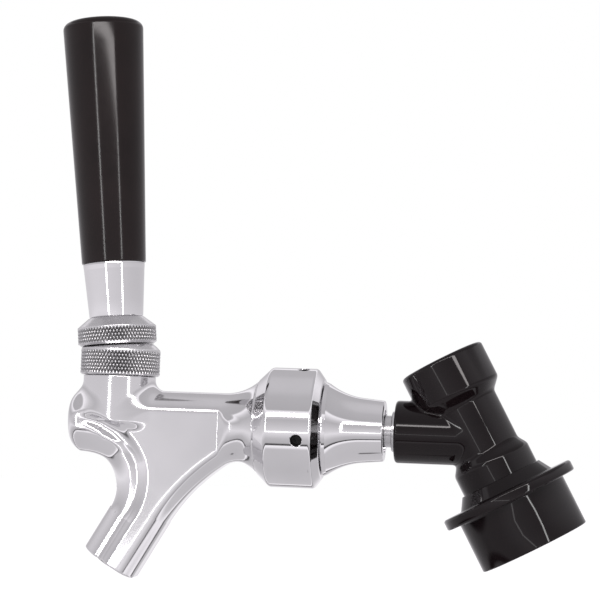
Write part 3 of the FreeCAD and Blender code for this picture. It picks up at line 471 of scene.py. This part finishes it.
def faucet_field(x, y, z):
    """Cast body: barrel and spout with flat sides and a groove along the crease, neck, and bores."""
    def on_shank(radius, low, high):
        return cylinder(x, y, z, ORIGIN, SHANK, radius, low, high)

    def in_neck(radius, low, high, edge=0.0):
        return cylinder(x, y, z, (PIVOT[0], 0, 0), UP, radius, low, high, edge)

    def in_spout(radius, low, high):
        return cylinder(x, y, z, SPOUT_END, SPOUT_AXIS, radius, low, high)
    spout, crease = spout_field(x, y, z)
    side = (np.abs(y) - WEB_HALF - np.clip((x - FACE_BACK_X) * FACE_SLOPE, 0, FACE_RISE)
            - np.clip((FACE_FRONT_X - x) * FACE_SLOPE, 0, FACE_RISE))
    body = meet(join(barrel_field(x, y, z), spout, BARREL_FILLET), side, FACE_DEPTH)
    body = join(body, in_neck(NECK_R, 0, NECK_TOP, 0.25), NECK_FILLET)
    fade = np.clip((FACE_FRONT_X - x) * GROOVE_SLOPE, 0, GROOVE_RISE)
    groove = np.hypot(crease, np.abs(y) - GROOVE_OUT - fade) - GROOVE_R
    body = np.where(x < FACE_BACK_X, cut(body, groove, GROOVE_EDGE), body)
    body = union(body, in_neck(SPIGOT_R, 0, SPIGOT_TOP, 0.2))
    bores = union(on_shank(MAIN_BORE_R, MAIN_BORE_X, 0.0), on_shank(CHAMBER_R, SEAT_X, 0.0),
                  in_neck(NECK_BORE_R, NECK_FLOOR, NECK_BORE_TOP),
                  in_neck(TAIL_HOLE_R, 0.0, TAIL_HOLE_TOP),
                  in_spout(SPOUT_BORE_R, -5.0, SPOUT_BORE_DEPTH),
                  in_spout(SPOUT_FEED_R, 0.0, SPOUT_FEED_DEPTH))
    return cut(body, bores, 0.35)


OUTLINE_H = np.arange(-2.0, QD_HEIGHT + 2.5, 0.1)
OUTLINE_R = np.interp(OUTLINE_H, *zip(*QD_OUTLINE))
OUTLINE_R = np.convolve(np.pad(OUTLINE_R, QD_BLUR // 2, mode="edge"), np.full(QD_BLUR, 1 / QD_BLUR),
                        mode="valid")


def disconnect_field(x, y, z):
    """Moulded body: barrel for the post, shoulder, column, head and side arm, with their hollows."""
    dx, dz = x - MOUTH[0], z - MOUTH[2]
    c, s = math.cos(QD_LEAN), math.sin(QD_LEAN)
    across, h = c * dx + s * dz, -s * dx + c * dz
    out = np.hypot(across, y)

    def hollow(radius, low, high):
        return np.maximum(out - radius, np.maximum(low - h, h - high))

    def in_arm(radius, low, high, edge=0.0):
        return cylinder(x, y, z, ORIGIN, SHANK, radius, low, high, edge)

    def ball_pocket(a):
        """A ball's pocket, open outwards."""
        px = across - LOCK_BALL_OUT * math.cos(a)
        py = y - LOCK_BALL_OUT * math.sin(a)
        ph = h - LOCK_BALL_H
        reach = np.maximum(px * math.cos(a) + py * math.sin(a), 0)
        return np.sqrt(np.maximum(px ** 2 + py ** 2 + ph ** 2 - reach ** 2, 0)) - LOCK_POCKET_R
    outline = (out - np.interp(h, OUTLINE_H, OUTLINE_R)) * 0.85     # nearer the distance on the cones
    column = meet(outline, np.maximum(-h, h - QD_HEIGHT), QD_EDGE)
    body = join(column, in_arm(ARM_R, ARM_X, QD_CROSS_X, ARM_EDGE), ARM_FILLET)
    hollows = union(hollow(MOUTH_R, -4.0, MOUTH_DEPTH), hollow(SOCKET_R, 0.0, SOCKET_DEPTH),
                    hollow(POST_BORE_R, 8.0, FLOOR_LOW), hollow(SEAT_HOLE_R, 18.0, 23.0),
                    hollow(QD_CHAMBER_R, FLOOR_TOP, 56.0), hollow(CAP_BORE_R, CAP_SEAT, 70.0),
                    in_arm(ARM_FEED_R, 20.0, QD_CROSS_X),
                    in_arm(ARM_SOCKET_R, 20.0, ARM_X + ARM_SOCKET_DEPTH),
                    *(ball_pocket(math.radians(60 + 120 * i)) for i in range(LOCK_BALLS)))
    return cut(body, hollows, 0.3)


def nut_field(x, y, z):
    """Coupling nut with chamfered ends and blind spanner holes."""
    out = np.hypot(y, z)
    front = chamfer(out - NUT_FRONT_RIM, x - NUT_FRONT, *NUT_FRONT_CHAMFER)
    back = chamfer(out - NUT_BACK_RIM, NUT_BACK - x, *NUT_BACK_CHAMFER)
    body = meet(meet(out - NUT_R, front, NUT_EDGE), back, NUT_EDGE)
    body = meet(body, np.maximum(NUT_FRONT - x, x - NUT_BACK), 0.25)
    bore = np.maximum(out - NUT_BORE_R, x - NUT_LIP_X)
    body = cut(body, union(bore, out - NUT_HOLE_R), 0.2)
    for i in range(SPANNER_HOLES):
        a = math.radians(SPANNER_FIRST + 360.0 / SPANNER_HOLES * i)
        axis = (0, -math.cos(a), math.sin(a))
        hole = cylinder(x, y, z, (SPANNER_X, 0, 0), axis, SPANNER_R, SPANNER_BOTTOM, 25.0)
        body = cut(body, hole, 0.15)
    return body


# ---- materials -----------------------------------------------------------------------------------
class Tree:
    """Short names for making shader nodes."""

    def __init__(self, material):
        material.use_nodes = True
        self.nodes = material.node_tree.nodes
        self.links = material.node_tree.links
        self.nodes.clear()
        self.out = self.nodes.new("ShaderNodeOutputMaterial")
        self.shader = self.nodes.new("ShaderNodeBsdfPrincipled")
        self.links.new(self.shader.outputs[0], self.out.inputs[0])
        self.coords = self.nodes.new("ShaderNodeTexCoord")

    def noise(self, scale, detail, rough=0.55, stretch=(1, 1, 1)):
        place = self.nodes.new("ShaderNodeMapping")
        place.inputs["Scale"].default_value = stretch
        self.links.new(self.coords.outputs["Object"], place.inputs["Vector"])
        node = self.nodes.new("ShaderNodeTexNoise")
        node.inputs["Scale"].default_value = scale
        node.inputs["Detail"].default_value = detail
        node.inputs["Roughness"].default_value = rough
        self.links.new(place.outputs[0], node.inputs["Vector"])
        return node.outputs["Fac"]

    def ramp(self, value, low, high, dark, light):
        node = self.nodes.new("ShaderNodeValToRGB")
        node.color_ramp.elements[0].position = low
        node.color_ramp.elements[1].position = high
        node.color_ramp.elements[0].color = dark
        node.color_ramp.elements[1].color = light
        self.links.new(value, node.inputs[0])
        return node.outputs[0]

    def range(self, value, low, high):
        node = self.nodes.new("ShaderNodeMapRange")
        node.inputs["To Min"].default_value = low
        node.inputs["To Max"].default_value = high
        self.links.new(value, node.inputs["Value"])
        return node.outputs[0]

    def scaled(self, value, factor):
        node = self.nodes.new("ShaderNodeMath")
        node.operation = "MULTIPLY"
        node.inputs[1].default_value = factor
        self.links.new(value, node.inputs[0])
        return node.outputs[0]

    def multiply(self, first, second):
        """The product of two colours."""
        node = self.nodes.new("ShaderNodeMix")
        node.data_type, node.blend_type = "RGBA", "MULTIPLY"
        node.inputs["Factor"].default_value = 1.0
        colours = [socket for socket in node.inputs if socket.type == "RGBA"]
        self.links.new(first, colours[0])
        self.links.new(second, colours[1])
        return [socket for socket in node.outputs if socket.type == "RGBA"][0]

    def bump(self, value, strength, distance):
        node = self.nodes.new("ShaderNodeBump")
        node.inputs["Strength"].default_value = strength
        node.inputs["Distance"].default_value = distance
        self.links.new(value, node.inputs["Height"])
        self.links.new(node.outputs[0], self.shader.inputs["Normal"])

    def put(self, value, socket):
        self.links.new(value, self.shader.inputs[socket])


def grey(level, tint=(1.0, 1.0, 1.0)):
    return (level * tint[0], level * tint[1], level * tint[2], 1.0)


def metal(name, dark, light, rough, grain=500.0, stretch=(1, 1, 1), bump=0.0, tint=(1.0, 0.99, 1.01),
          groove_shade_depth=None):
    """A metal whose tone and roughness drift a little, with fine marks and perhaps painted shade in its
    grooves, darker the deeper each vertex is sunk.
    """
    material = bpy.data.materials.new(name)
    tree = Tree(material)
    tree.shader.inputs["Metallic"].default_value = 1.0
    drift = tree.noise(45.0, 3.0)
    marks = tree.noise(grain, 5.0, 0.6, stretch)
    tone = tree.ramp(drift, 0.35, 0.65, grey(dark, tint), grey(light, tint))
    # Painted shade: the base colour darkens to a tenth of its tone where the knurl is pressed deepest.
    if groove_shade_depth:
        sunk = tree.nodes.new("ShaderNodeAttribute")
        sunk.attribute_name = "groove"
        share = tree.scaled(sunk.outputs["Fac"], 1.0 / groove_shade_depth)
        shade = tree.ramp(share, 0.05, 0.9, grey(1.0), grey(0.10))
        tone = tree.multiply(tone, shade)
    tree.put(tone, "Base Color")
    tree.put(tree.range(marks, rough[0], rough[1]), "Roughness")
    if bump:
        tree.bump(marks, bump, 0.00004)
    return material


def plastic(name, dark, light, rough, grain=900.0, bump=0.05):
    """A moulded plastic or rubber whose tone drifts a little, with a fine orange peel."""
    material = bpy.data.materials.new(name)
    tree = Tree(material)
    tree.shader.inputs["Specular IOR Level"].default_value = 0.26
    drift = tree.noise(60.0, 4.0)
    fine = tree.noise(grain, 3.0)
    tree.put(tree.ramp(drift, 0.3, 0.7, dark, light), "Base Color")
    tree.put(tree.range(fine, rough[0], rough[1]), "Roughness")
    tree.bump(fine, bump, 0.00005)
    return material


CHROME = metal("polished_chrome", 0.72, 0.77, rough=(0.035, 0.075), grain=300.0)
CAST = metal("cast_chrome", 0.72, 0.77, rough=(0.08, 0.12), grain=300.0)
# Knurled chrome, with painted shade in the knurl's grooves.
KNURLED = metal("knurled_chrome", 0.62, 0.70, rough=(0.20, 0.30), grain=700.0, bump=0.02,
                groove_shade_depth=KNURL_DEPTH)
STEEL = metal("turned_steel", 0.52, 0.62, rough=(0.16, 0.28), stretch=(12, 1, 1), bump=0.05)
BRASS = metal("turned_brass", 0.70, 0.80, rough=(0.18, 0.30), bump=0.05, tint=(1.0, 0.77, 0.42))
BLACK = plastic("black_plastic", (0.0035, 0.002, 0.0025, 1), (0.0055, 0.0035, 0.004, 1),
                rough=(0.035, 0.06), bump=0.006)
GRIP = plastic("grip_plastic", (0.006, 0.0035, 0.0035, 1), (0.010, 0.0060, 0.0060, 1),
               rough=(0.10, 0.15), grain=500.0, bump=0.01)
# Painted shade: a near-black, rough finish that stands for the shade inside the nut's spanner holes.
SPANNER_HOLE_SHADE = plastic("spanner_hole_shade", (0.010, 0.010, 0.011, 1), (0.02, 0.02, 0.021, 1), rough=(0.4, 0.6))
RUBBER = plastic("rubber_seal", grey(0.015), grey(0.03), rough=(0.55, 0.7))
NYLON = plastic("nylon", (0.62, 0.60, 0.54, 1), (0.70, 0.68, 0.62, 1), rough=(0.35, 0.5))
BY_SLOT = {"chrome": CHROME, "knurled_chrome": KNURLED, "stainless": STEEL, "black_plastic": BLACK,
           "grip_plastic": GRIP, "rubber": RUBBER, "nylon": NYLON, "brass": BRASS}


def finish_piece(obj, body, slot, node=None, material=None):
    """Gives a new piece its material and its body, and hides the CAD node that it stands for."""
    obj.data.materials.append(material or BY_SLOT[slot])
    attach(obj, body)
    if node:
        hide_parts(node)
    return obj


for entry in frame["record"]["subparts"]:
    mesh = NODES[entry["node"]].data
    mesh.materials.clear()
    mesh.materials.append(BY_SLOT[entry["material_slot"]])

# ---- cast and moulded pieces ---------------------------------------------------------------------
finish_piece(surface("faucet_casting", faucet_field, (-74, -17, -52), (0, 17, 20)),
             "tap_body", "chrome", "faucet_body", CAST)
finish_piece(surface("disconnect_moulding", disconnect_field, (27, -15, -44), (86, 15, 34)),
             "tap_body", "black_plastic", "disconnect_body")
nut = finish_piece(surface("coupling_nut_turned", nut_field, (-14, -20, -20), (9.5, 20, 20)),
                   "tap_body", "chrome", "coupling_nut")


def paint_hole_shade():
    """Painted shade: a near-black, rough finish on the faces inside the nut's spanner holes."""
    nut.data.materials.append(SPANNER_HOLE_SHADE)
    for face in nut.data.polygons:
        spot = face.center * 1000.0
        x, out = spot.x + MOUTH[0], math.hypot(spot.y, spot.z + MOUTH[2])
        if abs(x - SPANNER_X) < SPANNER_R + 0.25 and SPANNER_BOTTOM - 0.2 < out < NUT_R - 0.3:
            face.material_index = 1


paint_hole_shade()


# ---- knurled rings -------------------------------------------------------------------------------
def knurl(outer, low, high):
    """A diamond knurl pressed into the cylinder of that radius between two heights."""
    def shift(radius, angle, height):
        rising = (angle * KNURLS / (2 * math.pi) + height / KNURL_PITCH) % 1.0
        falling = (angle * KNURLS / (2 * math.pi) - height / KNURL_PITCH) % 1.0
        peak = np.minimum(1 - np.abs(2 * rising - 1), 1 - np.abs(2 * falling - 1))
        edge = np.clip(np.minimum(height - low, high - height) / KNURL_FADE, 0, 1)
        band = (radius > outer - 0.02) & (height > low) & (height < high)
        return np.where(band, -KNURL_DEPTH * edge * (1 - np.clip(peak * KNURL_FLANK, 0, 1)), 0.0)
    return shift


def dome_points(radius, first, last, count):
    """Corners along a sphere about the pivot, from one distance off the axis to another."""
    return [(r, math.sqrt(radius ** 2 - r ** 2)) for r in np.linspace(first, last, count)]


def knurled_ring(name, corners, place, body, node, knurling):
    ring = lathe(name, corners, place, segments=KNURLS * 10, crease=40.0, longest=0.17, shift=knurling)
    finish_piece(ring, body, "knurled_chrome", node)


knurled_ring("bonnet_knurled", [
    (BONNET_BORE_R, BONNET_LOW), (BONNET_R - BONNET_CHAMFER, BONNET_LOW),
    (BONNET_R, BONNET_LOW + BONNET_CHAMFER), (BONNET_R, BONNET_TOP - 0.5),
    *dome_points(DOME_R - 0.02, BONNET_R - 0.12, 10.2, 16),
    (BONNET_HOLE_R, BONNET_SHOULDER), (BONNET_BORE_R, BONNET_SHOULDER)],
    on_neck, "tap_body", "bonnet", knurl(BONNET_R, BONNET_LOW + 0.5, BONNET_TOP - 0.55))
knurled_ring("lever_collar_knurled", [
    *dome_points(COLLAR_HOLLOW_R, 11.45, 4.9, 12)[::-1],
    (COLLAR_R, COLLAR_LOW + 0.6), (COLLAR_R, COLLAR_KNURL_TOP, 0.35), (COLLAR_TOP_R, COLLAR_TOP, 0.2),
    (COLLAR_BORE_R, COLLAR_TOP), (COLLAR_BORE_R, COLLAR_HOLLOW_R - 0.8)],
    on_lever, "lever", "lever_collar", knurl(COLLAR_R, COLLAR_LOW + 0.65, COLLAR_KNURL_TOP - 0.4))

# ---- handle --------------------------------------------------------------------------------------
finish_piece(lathe("handle_ferrule_turned", [
    (FERRULE_HOLE_R, COLLAR_TOP), (8.4, COLLAR_TOP, 0.5), (9.5, 36.6, 0.6), (9.65, 38.0, 0.3),
    (9.6, FERRULE_TOP, 0.25), (FERRULE_BORE_R, FERRULE_TOP), (FERRULE_BORE_R, FERRULE_FLOOR),
    (FERRULE_HOLE_R, FERRULE_FLOOR)], on_lever), "lever", "chrome", "handle_ferrule")
finish_piece(lathe("handle_grip_turned", [
    (INSERT_BORE_R, INSERT_LOW), (GRIP_STEM_R, INSERT_LOW), (GRIP_STEM_R, FERRULE_TOP),
    (GRIP_LOW_R, FERRULE_TOP, 0.35), (GRIP_TOP_R, GRIP_TOP - 0.5, 2.2), (6.0, GRIP_TOP - 0.05, 6.0),
    (0.0, GRIP_TOP), (0.0, INSERT_TOP), (INSERT_BORE_R, INSERT_TOP)], on_lever, steps=12),
    "lever", "grip_plastic", "handle_grip")

# ---- adapter -------------------------------------------------------------------------------------
finish_piece(lathe("adapter_bell", [
    (STEM_BORE_R, STEM_FRONT), (STEM_R, STEM_FRONT, 0.4), (STEM_R, RING_SLOT[0]),
    (RING_SLOT_R, RING_SLOT[0]), (RING_SLOT_R, RING_SLOT[1]), (STEM_R, RING_SLOT[1]),
    (STEM_R, BELL_X), (14.65, BELL_X, 0.35), (13.95, BELL_X + 1.5, 0.25),
    (10.55, BELL_X + 6.05, 20.8), (9.35, BELL_END, 0.5), (BELL_RECESS_R, BELL_END),
    (BELL_RECESS_R, BELL_END - BELL_RECESS), (STUB_HOLE_R, BELL_END - BELL_RECESS),
    (STUB_HOLE_R, FEED_END), (FEED_R, FEED_END), (FEED_R, STEM_BORE_END), (STEM_BORE_R, STEM_BORE_END)],
    along_shank, segments=224, steps=24), "tap_body", "chrome", "adapter_body")

# ---- release sleeve ------------------------------------------------------------------------------
finish_piece(lathe("release_sleeve_moulded", [
    (12.79, 0.0, 0.15), (SLEEVE_GROOVE[0], 0.0, 0.1), (SLEEVE_GROOVE[0], SLEEVE_GROOVE_TOP),
    (SLEEVE_GROOVE[1], SLEEVE_GROOVE_TOP), (SLEEVE_GROOVE[1], 0.0, 0.1), (SKIRT_R, 0.0, 0.4),
    (SKIRT_R, FLANGE_LOW, 0.5), (FLANGE_R, FLANGE_LOW, 0.6), (FLANGE_R, FLANGE_TOP, 0.9),
    (15.4, FLANGE_TOP, 0.8), (13.0, SLEEVE_TOP, 0.35), (SLEEVE_BORE_R, SLEEVE_TOP, 0.2),
    (SLEEVE_BORE_R, SLEEVE_LEDGE), (SLEEVE_LEDGE_R, SLEEVE_LEDGE), (SLEEVE_LEDGE_R, 7.3)],
    on_disconnect, segments=224), "release_sleeve", "black_plastic", "release_sleeve")


def sleeve_ribs():
    """Thin ribs across the groove in the sleeve's underside."""
    inner, outer = SLEEVE_GROOVE[0] - RIB_SUNK, SLEEVE_GROOVE[1] + RIB_SUNK
    points, faces = [], []
    for i in range(SLEEVE_RIBS):
        a = math.radians(360.0 / SLEEVE_RIBS * i)
        start = len(points)
        for height in (RIB_LOW, SLEEVE_GROOVE_TOP + RIB_SUNK):
            for radius, side in ((inner, -RIB_HALF), (outer, -RIB_HALF),
                                 (outer, RIB_HALF), (inner, RIB_HALF)):
                points.append((radius * math.cos(a) - side * math.sin(a),
                               radius * math.sin(a) + side * math.cos(a), height))
        faces += [(start + p, start + q, start + r, start + t) for p, q, r, t in (
            (0, 3, 2, 1), (4, 5, 6, 7), (0, 1, 5, 4), (1, 2, 6, 5), (2, 3, 7, 6), (3, 0, 4, 7))]
    return mesh_object("release_sleeve_ribs", on_disconnect(np.array(points)), faces, 30.0)


finish_piece(sleeve_ribs(), "release_sleeve", "black_plastic")


def finish_spring(node, radius, wire, low, high, turns):
    """A round-wire coil on the tap body in place of the CAD node's spring, with a mesh of its own."""
    obj = coil(node + "_wire", radius, wire, low, high, turns, on_disconnect)
    finish_piece(obj, "tap_body", "stainless", node)
    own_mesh(obj)


finish_spring("sleeve_spring", radius=11.875, wire=0.42, low=SLEEVE_LEDGE, high=22.2, turns=5)
finish_spring("poppet_spring", radius=4.1, wire=0.4, low=25.0, high=56.4, turns=11)

# ---- studio --------------------------------------------------------------------------------------
FLOOR_Z, FLOOR_HALF = -0.11, 4.0        # in metres
FLOOR_GLOW = 0.44                       # lit from beneath, like a light table
TENT = (  # elevation of the direction in degrees, and how bright the studio is there
    (-90, 0.08), (-87.5, 0.12), (-85, 0.66), (-42, 0.70), (-37, 1.25), (-35, 1.1), (-34, 0.04),
    (-32, 0.06), (-30, 0.60), (-22, 0.66), (-10, 1.0), (-4, 0.84), (4, 0.72), (14, 0.60), (20, 0.75),
    (30, 1.2), (33, 0.55), (60, 0.60), (72, 0.68), (90, 0.72))


def floor():
    """A plain pale sheet well below the object; it doesn't show in the chrome."""
    corners = ((-1, -1), (1, -1), (1, 1), (-1, 1))
    sheet = mesh_object("floor_sheet", [(FLOOR_HALF * x, FLOOR_HALF * y, FLOOR_Z) for x, y in corners],
                        [(0, 1, 2, 3)])
    material = bpy.data.materials.new("floor_paper")
    tree = Tree(material)
    tree.put(tree.ramp(tree.noise(3.0, 2.0), 0.3, 0.7, grey(0.92), grey(0.95)), "Base Color")
    tree.shader.inputs["Roughness"].default_value = 0.9
    tree.shader.inputs["Specular IOR Level"].default_value = 0.0
    tree.shader.inputs["Emission Color"].default_value = (1.0, 1.0, 1.0, 1.0)
    tree.shader.inputs["Emission Strength"].default_value = FLOOR_GLOW
    path = tree.nodes.new("ShaderNodeLightPath")
    clear = tree.nodes.new("ShaderNodeBsdfTransparent")
    mix = tree.nodes.new("ShaderNodeMixShader")
    tree.links.new(path.outputs["Is Glossy Ray"], mix.inputs[0])
    tree.links.new(tree.shader.outputs[0], mix.inputs[1])
    tree.links.new(clear.outputs[0], mix.inputs[2])
    tree.links.new(mix.outputs[0], tree.out.inputs[0])
    sheet.data.materials.append(material)


def world():
    """A white tent with bright and dark bands, which the chrome shows, round a plain white view."""
    scene_world = bpy.data.worlds.new("studio_world")
    bpy.context.scene.world = scene_world
    scene_world.use_nodes = True
    nodes, links = scene_world.node_tree.nodes, scene_world.node_tree.links
    nodes.clear()

    def node(kind, *inputs, **settings):
        made = nodes.new(kind)
        for key, setting in settings.items():
            setattr(made, key, setting)
        for socket, value in enumerate(inputs):
            if hasattr(value, "links"):
                links.new(value, made.inputs[socket])
            else:
                made.inputs[socket].default_value = value
        return made
    coords = node("ShaderNodeTexCoord")
    split = node("ShaderNodeSeparateXYZ", coords.outputs["Generated"])
    angle = node("ShaderNodeMath", split.outputs["Z"], operation="ARCSINE")
    unit = node("ShaderNodeMapRange", angle.outputs[0], -math.pi / 2, math.pi / 2, 0.0, 1.0)
    ramp = node("ShaderNodeValToRGB", unit.outputs[0])
    elements = ramp.color_ramp.elements
    elements[0].position, elements[1].position = 0.0, 1.0
    for degrees, _ in TENT[1:-1]:
        elements.new((degrees + 90) / 180)
    for element, (_, level) in zip(elements, TENT):
        element.color = grey(level, (0.99, 0.965, 1.0))
    tent = node("ShaderNodeBackground", ramp.outputs[0], 1.0)
    white = node("ShaderNodeBackground", grey(1.0), 1.0)
    path = node("ShaderNodeLightPath")
    mix = node("ShaderNodeMixShader", path.outputs["Is Camera Ray"], tent.outputs[0], white.outputs[0])
    node("ShaderNodeOutputWorld", mix.outputs[0])


def lamp(name, place, aim, size, power, colour=(1.0, 1.0, 1.0)):
    """A rectangular panel of that size in metres, turned towards its aim."""
    data = bpy.data.lights.new(name, "AREA")
    data.shape = "RECTANGLE"
    data.size, data.size_y = size
    data.energy = power
    data.color = colour
    obj = bpy.data.objects.new(name, data)
    bpy.context.scene.collection.objects.link(obj)
    obj.location = place
    obj.rotation_euler = (Vector(aim) - Vector(place)).to_track_quat("-Z", "Y").to_euler()


def camera():
    """Looks at a spot between grip and spout, a little from the right and from below."""
    target = Vector(to_model(np.array([-1.15, 0.0, 39.755])))
    azimuth, elevation, roll = math.radians(7.5), math.radians(-3.7), math.radians(2.17)
    distance = 0.62
    data = bpy.data.cameras.new("camera")
    data.lens, data.sensor_width = 119.55, 36.0
    data.clip_start = 0.01
    obj = bpy.data.objects.new("camera", data)
    bpy.context.scene.collection.objects.link(obj)
    away = Vector((math.sin(azimuth) * math.cos(elevation), -math.cos(azimuth) * math.cos(elevation),
                   math.sin(elevation)))
    turn = away.to_track_quat("Z", "Y").to_matrix().to_4x4() @ Matrix.Rotation(roll, 4, "Z")
    obj.matrix_world = Matrix.Translation(target + away * distance) @ turn
    bpy.context.scene.camera = obj


floor()
world()
camera()
lamp("front_panel", place=(0.01, -0.55, 0.276), aim=(0.01, 0.0, 0.10), size=(0.66, 0.060), power=1.5,
     colour=(1.0, 0.95, 0.95))
lamp("left_strip", place=(-0.315, -0.55, 0.100), aim=(-0.06, 0.0, 0.10), size=(0.028, 0.29),
     power=0.38)
lamp("right_strip", place=(0.350, -0.55, 0.100), aim=(-0.06, 0.0, 0.10), size=(0.030, 0.29),
     power=0.40)
lamp("low_strip", place=(0.01, -0.55, -0.049), aim=(0.01, 0.0, 0.0), size=(0.66, 0.010), power=0.06)
bpy.context.scene.view_settings.view_transform = "Standard"
